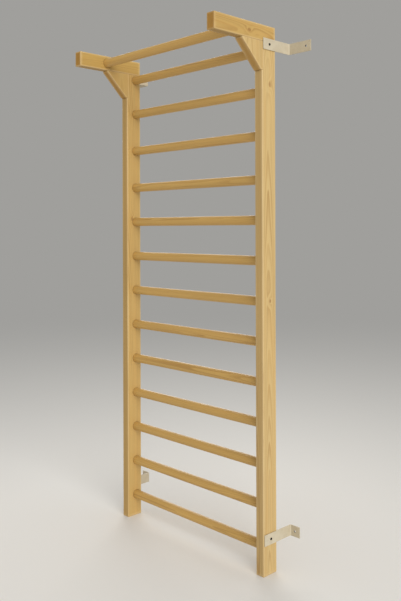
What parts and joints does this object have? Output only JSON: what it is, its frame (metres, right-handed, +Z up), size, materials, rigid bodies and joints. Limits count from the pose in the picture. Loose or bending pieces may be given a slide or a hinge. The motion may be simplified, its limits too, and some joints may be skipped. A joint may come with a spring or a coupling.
{
  "type": "wall bars",
  "caption": "Wooden wall bars: round rungs between upright posts, a pull-up bar on braced arms that reach into the room, and painted steel brackets to the wall.",
  "frame": {"origin": "On the floor, under the middle of the whole object's box", "axes": "+X to the right of someone who faces the wall, +Y towards the wall, +Z up"},
  "size_m": [1.13, 0.438, 2.2],
  "materials": {
    "pine_boards": "planed pine, clear satin varnish",
    "turned_pine": "turned pine, clear satin varnish",
    "dowel_wood": "bare beech",
    "bracket_paint": "cream satin paint on flat steel",
    "screw_steel": "blackened steel"
  },
  "bodies": {
    "root": {"bottom_left_bracket": "bracket_paint", "bottom_left_bracket_screw": "screw_steel", "bottom_right_bracket": "bracket_paint", "bottom_right_bracket_screw": "screw_steel", "left_arm": "pine_boards", "left_gusset": "pine_boards", "left_gusset_arm_dowel_1": "dowel_wood", "left_gusset_arm_dowel_2": "dowel_wood", "left_gusset_post_dowel_1": "dowel_wood", "left_gusset_post_dowel_2": "dowel_wood", "left_post": "pine_boards", "pull_up_bar": "turned_pine", "right_arm": "pine_boards", "right_gusset": "pine_boards", "right_gusset_arm_dowel_1": "dowel_wood", "right_gusset_arm_dowel_2": "dowel_wood", "right_gusset_post_dowel_1": "dowel_wood", "right_gusset_post_dowel_2": "dowel_wood", "right_post": "pine_boards", "rung_01": "turned_pine", "rung_02": "turned_pine", "rung_03": "turned_pine", "rung_04": "turned_pine", "rung_05": "turned_pine", "rung_06": "turned_pine", "rung_07": "turned_pine", "rung_08": "turned_pine", "rung_09": "turned_pine", "rung_10": "turned_pine", "rung_11": "turned_pine", "rung_12": "turned_pine", "rung_13": "turned_pine", "top_left_bracket": "bracket_paint", "top_left_bracket_screw": "screw_steel", "top_right_bracket": "bracket_paint", "top_right_bracket_screw": "screw_steel"}
  },
  "joints": []
}
